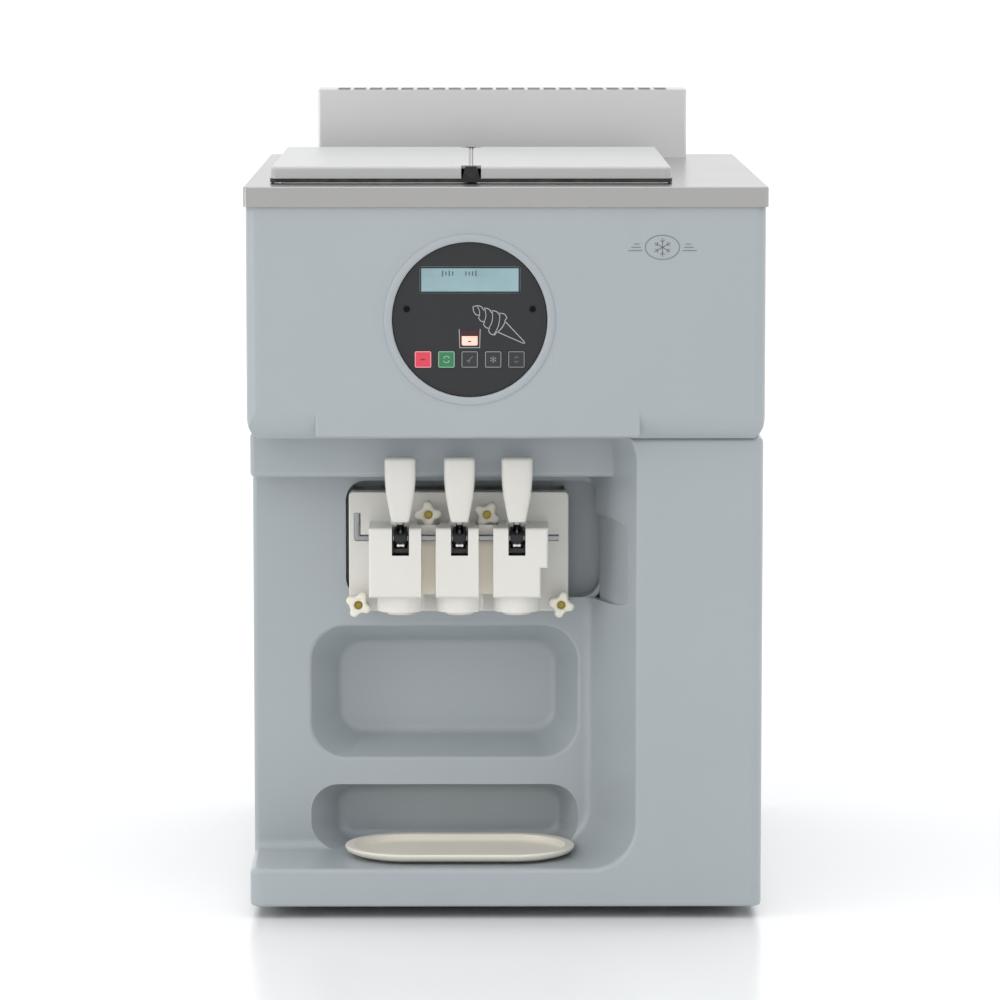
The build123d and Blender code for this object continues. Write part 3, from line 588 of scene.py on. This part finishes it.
def drawEmblem():
    shape = bmesh.new()
    x, z = emblemLook["x"] * mm, emblemLook["z"] * mm
    back = deep(3.0)
    front = back - emblemLook["proud"] * mm
    line = emblemLook["line"] * mm
    turns = [i * pi / 24 for i in range(48)]
    oval = [(x + emblemLook["wide"] * mm * cos(t), z + emblemLook["high"] * mm * sin(t)) for t in turns]
    strip(shape, oval, line, front, back, closed=True)
    for side in (1, -1):
        for k in range(3):
            start = emblemLook["wide"] + 3 + 1.5 * k
            height = z + (k - 1) * 3.2 * mm
            end = emblemLook["reach"] - 3 * k
            strip(shape, [(x + side * start * mm, height), (x + side * end * mm, height)], line, front, back)
    for i in range(3):
        turn = pi / 6 + i * pi / 3
        ray = Vector((cos(turn), sin(turn))) * 9 * mm
        strip(shape, [(x - ray.x, z - ray.y), (x + ray.x, z + ray.y)], line, front, back)
        for end in (1, -1):
            knee = Vector((x, z)) + ray * 0.58 * end
            for lean in (0.8, -0.8):
                tip = knee + Vector((cos(turn + lean), sin(turn + lean))) * end * 3 * mm
                strip(shape, [tuple(knee), tuple(tip)], line * 0.8, front, back)
    return meshOf(shape)


emblemInk = moulded("emblemInk", paint(122, 129, 131), gloss=0.4, spots=0.94)
addPiece("emblem", drawEmblem(), "fascia_plastic", "cabinet", emblemInk)

# grips: a flat-backed drop with a rounded crown, narrow at the stem
gripLook = {
    "below": 5.5,
    "heights": (0.0, 0.02, 0.07, 0.22, 0.4, 0.55, 0.68, 0.8, 0.94),
    "widths": (8.0, 9.0, 9.8, 11.8, 13.9, 15.0, 15.6, 15.75, 15.75),
    "depths": (5.4, 6.6, 7.4, 8.4, 9.4, 10.2, 10.8, 11.0, 11.0),
    "crown": 3.2,
    "square": 4.2,
}


def ovalRing(x, y, z, halfX, halfY, square, count=48):
    ring = []
    for i in range(count):
        turn = 2 * pi * i / count
        c, s = cos(turn), sin(turn)
        px = halfX * (abs(c) ** (2 / square)) * (1 if c >= 0 else -1)
        py = halfY * (abs(s) ** (2 / square)) * (1 if s >= 0 else -1)
        ring.append((x + px, y + py, z))
    return ring


def gripMesh(x, y, low, high):
    shape = bmesh.new()
    crown = gripLook["crown"] * mm
    tall = high - low
    sizes = list(zip(gripLook["heights"], gripLook["widths"], gripLook["depths"]))
    rings = []
    for share, wide, thick in sizes:
        rings.append(ovalRing(x, y, low + share * tall, wide * mm, thick * mm, gripLook["square"]))
    wide, thick = sizes[-1][1] * mm, sizes[-1][2] * mm
    start = low + sizes[-1][0] * tall
    rise = high - start
    for i in range(1, 7):
        turn = i * pi / 12
        inset = crown * (1 - cos(turn))
        height = start + rise * sin(turn)
        rings.append(ovalRing(x, y + inset * 0.35, height, wide - inset, thick - inset, gripLook["square"]))
    skin(shape, rings)
    return meshOf(shape, 60)


for side in ("left", "centre", "right"):
    low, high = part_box("handle_" + side)
    spot = middle("handle_" + side)
    base = low.z - gripLook["below"] * mm
    grip = addPiece("grip." + side, gripMesh(spot.x, spot.y, base, high.z), "handle_white", "handle_" + side)
    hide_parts("handle_" + side)
print("grips done")

# front of each lever: a black cheek over the hub, and a bright pin across it
leverLook = {"radius": 12.0, "hub": 6.9, "from": 98, "to": 232, "half": 6.6,
             "pin": 2.5, "pinHalf": 4.2, "pinAt": 214}
pivotY, pivotZ = deep(82), 380.6 * mm


def aboutPivot(radius, degrees):
    turn = radians(degrees)
    return (pivotY + radius * cos(turn) * mm, pivotZ + radius * sin(turn) * mm)


def cheekMesh(x):
    shape = bmesh.new()
    start, end = leverLook["from"], leverLook["to"]
    steps = [start + (end - start) * i / 14 for i in range(15)]
    outline = [aboutPivot(leverLook["radius"], t) for t in steps]
    outline += [aboutPivot(leverLook["hub"], t) for t in reversed(steps)]
    half = leverLook["half"] * mm
    rows = []
    for offset, inset in ((-half, 0.6), (-half + 0.6 * mm, 0), (half - 0.6 * mm, 0), (half, 0.6)):
        centre = Vector(aboutPivot(9.4, (start + end) / 2))
        row = []
        for y, z in outline:
            pull = (centre - Vector((y, z))).normalized() * inset * mm
            row.append((x + offset, y + pull.x, z + pull.y))
        rows.append(row)
    skin(shape, rows)
    return meshOf(shape)


def pinMesh(x):
    shape = bmesh.new()
    y, z = aboutPivot(leverLook["radius"], leverLook["pinAt"])
    rings = []
    half = leverLook["pinHalf"]
    for offset, size in ((-half, 0.7), (-half + 0.5, 1.0), (-1.2, 1.0), (-1.0, 0.8), (1.0, 0.8), (1.2, 1.0),
                         (half - 0.5, 1.0), (half, 0.7)):
        radius = leverLook["pin"] * size * mm
        turns = [i * pi / 10 for i in range(20)]
        rings.append([(x + offset * mm, y + radius * cos(t), z + radius * sin(t)) for t in turns])
    skin(shape, rings)
    return meshOf(shape)


def slotShadeMesh(x):
    # thin black sheet in the lever's slot, painted shade: two cheeks and a floor
    shape = bmesh.new()
    half, thick, low, high = 8.58 * mm, 0.35 * mm, 365.05 * mm, 391.5 * mm
    outline = [(x - half, high), (x - half, low), (x + half, low), (x + half, high),
               (x + half - thick, high), (x + half - thick, low + thick),
               (x - half + thick, low + thick), (x - half + thick, high)]
    plate(shape, outline, deep(61.2), deep(78.0))
    return meshOf(shape)


pinSteel = brushed("pinSteel", paint(232, 232, 232), "x", gloss=0.3)
for side in ("left", "centre", "right"):
    x = middle("lever_" + side).x
    addPiece("leverCheek." + side, cheekMesh(x), "lever_steel", "handle_" + side, leverBlack)
    addPiece("leverPin." + side, pinMesh(x), "lever_steel", "handle_" + side, pinSteel)
    # the near-black sheet in each slot is painted shade
    addPiece("slotLiner." + side, slotShadeMesh(x), "head_white", "cabinet", finishes["screw_black"])
print("lever fronts done")

# thin facings of a lighter cream on the floors of the two grooves, behind the rod; the lighter cream is
# painted light on the shaded groove floors
webLook = {"half": 7.3, "low": 323.0, "high": 385.0, "front": 87.0, "back": 88.4, "round": 0.7}


def webMesh(x):
    shape = bmesh.new()
    half, turn = webLook["half"] * mm, webLook["round"] * mm
    front, back = deep(webLook["front"]), deep(webLook["back"])
    top = webLook["high"] * mm - turn
    rings = [(webLook["low"] * mm, front, back), (top, front, back)]
    for i in range(1, 6):
        bend = i * pi / 10
        rings.append((top + turn * sin(bend), front + turn * (1 - cos(bend)), back))
    points = [[(x - half, near, z), (x + half, near, z), (x + half, far, z), (x - half, far, z)]
              for z, near, far in rings]
    skin(shape, points)
    return meshOf(shape)


# lighter than the head's white: painted light that lifts the shade in the grooves
paintedLightCream = moulded("paintedLightCream", paint(240, 234, 218), gloss=0.4, spots=0.98, glow=0.2)
for i, x in enumerate((-77.8, -19.8)):
    addPiece("headWeb." + str(i + 1), webMesh(x * mm), "head_white", "cabinet", paintedLightCream)
print("webs done")

# light lip on the left lid that closes the gap to the right one
lipLook = {"left": -35.45, "right": -33.65, "low": 746.5, "high": 756.6,
           "front": 88.0, "back": 482.0, "round": 0.5}


def lipMesh():
    shape = bmesh.new()
    left, right, high = lipLook["left"] * mm, lipLook["right"] * mm, lipLook["high"] * mm
    low, turn = lipLook["low"] * mm, lipLook["round"] * mm
    rows = []
    for y in (deep(lipLook["front"]), deep(lipLook["back"])):
        part, near = turn * 0.3, high - turn
        rows.append([(left, y, low), (right, y, low), (right, y, near), (right - part, y, high - part),
                     (right - turn, y, high), (left + turn, y, high), (left + part, y, high - part),
                     (left, y, near)])
    skin(shape, rows)
    return meshOf(shape)


addPiece("lidLip", lipMesh(), "lid_plastic", "lid_left")

# soft lip moulded round the control panel
panelLip = ((77.1, 6.3), (77.2, 3.4), (77.7, 2.6), (79.0, 2.1), (81.0, 1.9), (83.0, 2.2),
            (84.6, 2.8), (85.2, 3.4), (85.0, 6.3))


def panelLipMesh():
    shape = bmesh.new()
    turns = [i * pi / 72 for i in range(144)]
    rings = []
    for radius, depth in panelLip:
        reach = radius * mm
        rings.append([(panelX + reach * cos(t), deep(depth), panelZ + reach * sin(t)) for t in turns])
    skin(shape, rings, loop=True)
    return meshOf(shape, 50)


addPiece("panelLip", panelLipMesh(), "fascia_plastic", "cabinet")
print("lips done")

# star knobs: four lobes, a dished middle and a brass insert
knobLook = {
    "turns": {"upper_left": 3, "upper_right": 58, "lower_left": 62, "lower_right": 76},
    "mean": 11.2, "lobe": 2.4, "front": 98.0, "back": 114.0, "hub": 7.5, "insert": 4.3, "bore": 3.06,
}


def lobedRing(x, z, depth, inset, turn, count=64):
    ring = []
    for i in range(count):
        t = 2 * pi * i / count
        wave = cos(4 * (t - turn))
        wave = abs(wave) ** 0.7 * (1 if wave > 0 else -1)
        full = knobLook["mean"] + knobLook["lobe"] * wave
        radius = full * (1 - inset / knobLook["mean"]) * mm
        ring.append((x + radius * cos(t), deep(depth), z + radius * sin(t)))
    return ring


def roundRing(x, z, depth, radius, count=64):
    turns = [2 * pi * i / count for i in range(count)]
    return [(x + radius * mm * cos(t), deep(depth), z + radius * mm * sin(t)) for t in turns]


def knobMesh(x, z, turn):
    shape = bmesh.new()
    front, back = knobLook["front"], knobLook["back"]
    insert = knobLook["insert"]
    rings = [roundRing(x, z, back + 5.6, insert), roundRing(x, z, front + 2.2, insert)]
    rings.append(roundRing(x, z, front + 0.8, insert + 0.5))
    rings.append(roundRing(x, z, front + 0.5, insert + 1.2))
    rings.append(lobedRing(x, z, front + 0.02, 4.0, turn))
    for i in range(4, -1, -1):
        bend = i * pi / 8
        rings.append(lobedRing(x, z, front + 3.4 * (1 - sin(bend)), 3.4 * (1 - cos(bend)), turn))
    for i in range(1, 5):
        bend = i * pi / 8
        rings.append(lobedRing(x, z, back - 3.0 * (1 - sin(bend)), 3.0 * (1 - cos(bend)), turn))
    rings.append(roundRing(x, z, back, knobLook["hub"] - 0.6))
    rings.append(roundRing(x, z, back + 5.2, knobLook["hub"] - 0.8))
    rings.append(roundRing(x, z, back + 5.6, knobLook["hub"] - 1.4))
    skin(shape, rings, loop=True)
    return meshOf(shape, 50)


def insertMesh(x, z):
    shape = bmesh.new()
    front, back = knobLook["front"], knobLook["back"]
    insert, bore = knobLook["insert"], knobLook["bore"]
    rings = [roundRing(x, z, back + 5.5, bore), roundRing(x, z, front + 2.6, bore)]
    rings += [roundRing(x, z, front + 2.2, bore + 0.4), roundRing(x, z, front + 2.2, insert - 0.05)]
    rings.append(roundRing(x, z, back + 5.5, insert - 0.05))
    skin(shape, rings, loop=True)
    return meshOf(shape)


for place, turn in knobLook["turns"].items():
    body = "star_knob_" + place
    spot = middle(body)
    knob = addPiece("starKnob." + place, knobMesh(spot.x, spot.z, radians(turn)), "knob_cream", body)
    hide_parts(body)
    addPiece("knobInsert." + place, insertMesh(spot.x, spot.z), "brass", body)
print("star knobs done")

# drip tray: upright outer wall with a rolled lip, shallow pan inside
trayLook = {"inside": 12.0, "floor": 54.5, "foot": 51.7}


def stadiumRing(z, inset, count=24):
    low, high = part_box("drip_tray")
    radius = (high.y - low.y) / 2 - inset * mm
    y = (low.y + high.y) / 2
    half = (high.y - low.y) / 2
    ring = []
    for x, start in ((high.x - half, -pi / 2), (low.x + half, pi / 2)):
        ring += [(x + radius * cos(start + pi * i / count), y + radius * sin(start + pi * i / count), z * mm)
                 for i in range(count + 1)]
    return ring


def trayMesh():
    shape = bmesh.new()
    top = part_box("drip_tray")[1].z / mm
    inside, floor, foot = trayLook["inside"], trayLook["floor"], trayLook["foot"]
    profile = [(foot, 15.8), (foot + 0.5, 13.6), (foot + 1.8, 9.0), (foot + 3.4, 5.0), (foot + 5.2, 1.6),
               (top - 2.5, 0.3), (top - 1.2, 0.15),
               (top - 0.4, 0.6), (top - 0.05, 1.3), (top, 2.4), (top - 0.1, inside - 3.4),
               (top - 0.5, inside - 2.2), (floor + 2.6, inside - 0.6), (floor + 1.0, inside + 0.4),
               (floor + 0.2, inside + 2.0), (floor, inside + 4.0)]
    rings = [stadiumRing(z, inset) for z, inset in profile]
    skin(shape, rings)
    return meshOf(shape, 50)


tray = addPiece("tray", trayMesh(), "tray_cream", "drip_tray")
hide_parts("drip_tray")
print("tray done")


# repeated small parts, laid out on a grid by Geometry Nodes
def gridNodes():
    tree = bpy.data.node_groups.new("partGrid", "GeometryNodeTree")
    sockets = {}
    kinds = {"Part": "Object", "Finish": "Material", "Columns": "Int", "Rows": "Int",
             "Across": "Float", "Up": "Float", "Turn": "Vector", "Centre": "Vector"}
    for label, kind in kinds.items():
        socket = tree.interface.new_socket(label, in_out="INPUT", socket_type="NodeSocket" + kind)
        sockets[label] = socket.identifier
    tree.interface.new_socket("Geometry", in_out="OUTPUT", socket_type="NodeSocketGeometry")
    add, link = tree.nodes.new, tree.links.new
    given = add("NodeGroupInput").outputs
    grid = add("GeometryNodeMeshGrid")
    sides = (("Columns", "Across", "Vertices X", "Size X"), ("Rows", "Up", "Vertices Y", "Size Y"))
    for count, pitch, verts, size in sides:
        less = add("ShaderNodeMath")
        less.operation = "SUBTRACT"
        less.inputs[1].default_value = 1.0
        span = add("ShaderNodeMath")
        span.operation = "MULTIPLY"
        link(given[count], less.inputs[0])
        link(less.outputs[0], span.inputs[0])
        link(given[pitch], span.inputs[1])
        link(span.outputs[0], grid.inputs[size])
        link(given[count], grid.inputs[verts])
    turned = add("GeometryNodeTransform")
    link(grid.outputs["Mesh"], turned.inputs["Geometry"])
    link(given["Turn"], turned.inputs["Rotation"])
    link(given["Centre"], turned.inputs["Translation"])
    part = add("GeometryNodeObjectInfo")
    link(given["Part"], part.inputs["Object"])
    copies = add("GeometryNodeInstanceOnPoints")
    link(turned.outputs["Geometry"], copies.inputs["Points"])
    link(part.outputs["Geometry"], copies.inputs["Instance"])
    real = add("GeometryNodeRealizeInstances")
    link(copies.outputs["Instances"], real.inputs["Geometry"])
    finish = add("GeometryNodeSetMaterial")
    link(real.outputs["Geometry"], finish.inputs["Geometry"])
    link(given["Finish"], finish.inputs["Material"])
    link(finish.outputs["Geometry"], add("NodeGroupOutput").inputs[0])
    return tree, sockets


partGrid, gridSockets = gridNodes()


def layOut(name, mesh, slot, look, body="cabinet"):
    part = bpy.data.objects.new("part", mesh)
    holder = bpy.data.objects.new("holder", bpy.data.meshes.new("holder"))
    scene.collection.objects.link(part)
    scene.collection.objects.link(holder)
    modifier = holder.modifiers.new("grid", "NODES")
    modifier.node_group = partGrid
    modifier[gridSockets["Part"]] = part
    modifier[gridSockets["Finish"]] = finishes[slot]
    for label, value in look.items():
        modifier[gridSockets[label]] = value
    graph = bpy.context.evaluated_depsgraph_get()
    whole = bpy.data.meshes.new_from_object(holder.evaluated_get(graph))
    bpy.data.objects.remove(holder)
    bpy.data.objects.remove(part)
    return addPiece(name, whole, slot, body)


# pressed hoods over the slots of the side and rear panels
hoodLook = {"sideHalf": 67.5, "rearHalf": 60.0, "rise": 1.7, "high": 9.0, "gauge": 0.5}


def hoodMesh(half, rise, turn):
    # a half-round hood, open below, with rounded ends; built facing -Y, then turned
    shape = bmesh.new()
    stations = 12
    rings = []
    for i in range(stations + 1):
        along = -1 + 2 * i / stations
        size = max(0.05, (1 - abs(along) ** 10)) ** 0.5
        ring = []
        for gap in (0, hoodLook["gauge"]):
            arc = [k * pi / 14 for k in range(8)]
            if gap:
                arc.reverse()
            for t in arc:
                out = (rise * sin(t + 0.08) - gap) * size
                height = hoodLook["high"] * (0.62 - t / (pi / 2))
                ring.append(Vector((along * half, -max(out, -0.2), height)) * mm)
        rings.append([turn @ point for point in ring])
    skin(shape, rings)
    return meshOf(shape, 50)


# screw head: a low dome with a cross recess
screwLook = {"radius": 3.4, "rise": 1.9, "arm": 1.9, "slot": 0.5, "deep": 1.2}


def screwMesh(turn, radius=screwLook["radius"]):
    shape = bmesh.new()
    count = 32
    turns = [2 * pi * i / count for i in range(count)]

    def crossed(t, size):
        across = min(abs(cos(t)), abs(sin(t)))
        along = max(abs(cos(t)), abs(sin(t)))
        if across <= 0.02:
            return screwLook["arm"] * size
        return min(screwLook["arm"] * size / along, screwLook["slot"] * size / max(across, 0.05))

    rise = screwLook["rise"]
    rings = []
    for height, size in ((0.0, 1.0), (0.35, 1.0), (0.75, 0.86), (0.94, 0.72)):
        reach = radius * size
        rings.append([Vector((reach * cos(t), -rise * height, reach * sin(t))) * mm for t in turns])
    for height, size in ((1.0, 1.0), (1.0 - screwLook["deep"] / rise, 0.7)):
        reaches = [crossed(t, size) for t in turns]
        rings.append([Vector((r * cos(t), -rise * height, r * sin(t))) * mm for r, t in zip(reaches, turns)])
    rings = [[turn @ point for point in ring] for ring in rings]
    skin(shape, rings)
    return meshOf(shape)


def upright(degrees):
    return Matrix.Rotation(radians(degrees), 3, "Z")


sideTurn = (pi / 2, 0.0, pi / 2)
rearTurn = (pi / 2, 0.0, 0.0)
slotRows = {"Rows": 11, "Up": 17 * mm}
for side, degrees in ((-1, -90), (1, 90)):
    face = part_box("side_panel_left" if side < 0 else "side_panel_right")[0 if side < 0 else 1].x
    hood = hoodMesh(hoodLook["sideHalf"], hoodLook["rise"], upright(degrees))
    name = "hoods.left" if side < 0 else "hoods.right"
    spot = (face, (deep(355) + deep(520)) / 2, (93 + 85) * mm)
    look = {"Columns": 2, "Across": 165 * mm, "Turn": sideTurn, "Centre": spot, **slotRows}
    layOut(name, hood, "side_paint", look)
    for label, depth in (("front", 212), ("back", 686)):
        spot = (face, deep(depth), 376 * mm)
        look = {"Columns": 1, "Rows": 4, "Across": 1.0, "Up": 216 * mm, "Turn": sideTurn, "Centre": spot}
        name = "sideScrews." + ("left." if side < 0 else "right.") + label
        layOut(name, screwMesh(upright(degrees)), "tube_steel", look)
rear = deep(697.6)
hood = hoodMesh(hoodLook["rearHalf"], hoodLook["rise"] * 1.6, upright(180))
spot = (0.0, rear, (483 + 90) * mm)
layOut("hoods.rear", hood, "side_paint",
       {"Columns": 3, "Rows": 13, "Across": 140 * mm, "Up": 15 * mm, "Turn": rearTurn, "Centre": spot})
look = {"Columns": 2, "Rows": 4, "Across": 480 * mm, "Up": 226 * mm, "Turn": rearTurn,
        "Centre": (0.0, rear, 374 * mm)}
layOut("rearScrews", screwMesh(upright(180)), "tube_steel", look)
print("hoods and screws laid out")

# floor, camera and lights
studio = {"floor": 60.0, "dim": 0.96, "bright": 1.14, "sun": 0.08, "top": 4.0, "left": 6.0, "right": 0.6}


def floorMaterial():
    material, tree, shader, place = openMaterial("studioFloor")
    cloud = noise(tree, place, 0.8, 2)
    stops = [(0.3, (0.93, 0.93, 0.925, 1)), (0.7, (0.95, 0.95, 0.95, 1))]
    tree.links.new(ramp(tree, cloud, stops), shader.inputs["Base Color"])
    shader.inputs["Roughness"].default_value = 0.22
    return material


def addFloor():
    half = studio["floor"]
    mesh = bpy.data.meshes.new("floor")
    corners = [(-half, -half, 0), (half, -half, 0), (half, half, 0), (-half, half, 0)]
    mesh.from_pydata(corners, [], [(0, 1, 2, 3)])
    mesh.materials.append(floorMaterial())
    ground = bpy.data.objects.new("floor", mesh)
    scene.collection.objects.link(ground)


def addPanelLight(name, place, aim, size, energy):
    light = bpy.data.lights.new(name, "AREA")
    light.shape = "RECTANGLE"
    light.size, light.size_y = size
    light.energy = energy
    lamp = bpy.data.objects.new(name, light)
    lamp.location = place
    lamp.rotation_euler = (Vector(aim) - Vector(place)).to_track_quat("-Z", "Y").to_euler()
    scene.collection.objects.link(lamp)


def addLights():
    world = bpy.data.worlds.new("studioWorld")
    scene.world = world
    world.use_nodes = True
    tree = world.node_tree
    sky = tree.nodes["Background"]
    sky.inputs["Color"].default_value = (0.985, 0.99, 1.0, 1.0)
    # brighter above and behind, dimmer where the camera stands
    way = tree.nodes.new("ShaderNodeTexCoord").outputs["Generated"]
    lean = tree.nodes.new("ShaderNodeVectorMath")
    lean.operation = "DOT_PRODUCT"
    lean.inputs[1].default_value = (0.0, 0.6, 0.8)
    tree.links.new(way, lean.inputs[0])
    level = tree.nodes.new("ShaderNodeMapRange")
    level.inputs["From Min"].default_value = -1.0
    level.inputs["To Min"].default_value = studio["dim"]
    level.inputs["To Max"].default_value = studio["bright"]
    tree.links.new(lean.outputs["Value"], level.inputs["Value"])
    tree.links.new(level.outputs["Result"], sky.inputs["Strength"])
    sun = bpy.data.lights.new("sun", "SUN")
    sun.energy = studio["sun"]
    sun.angle = radians(60)
    lamp = bpy.data.objects.new("sun", sun)
    lamp.rotation_euler = (radians(48), 0, radians(-24))
    scene.collection.objects.link(lamp)
    addPanelLight("topPanel", (0.1, -0.5, 2.4), (0, 0, 0.5), (1.8, 1.4), studio["top"])
    addPanelLight("leftPanel", (-1.9, -1.3, 1.0), (0, 0, 0.45), (0.5, 1.6), studio["left"])
    addPanelLight("rightPanel", (1.9, -1.2, 0.9), (0, 0, 0.4), (0.5, 1.6), studio["right"])


def addCamera():
    data = bpy.data.cameras.new("camera")
    data.lens = 182.05
    data.sensor_width = 36
    data.clip_end = 300
    camera = bpy.data.objects.new("camera", data)
    camera.location = (-0.0322, -5.3575, 1.004)
    camera.rotation_euler = (radians(90 - 6.565), 0, radians(-0.301))
    scene.collection.objects.link(camera)
    scene.camera = camera


addFloor()
addLights()
addCamera()
scene.view_settings.view_transform = "Standard"
print("studio ready")
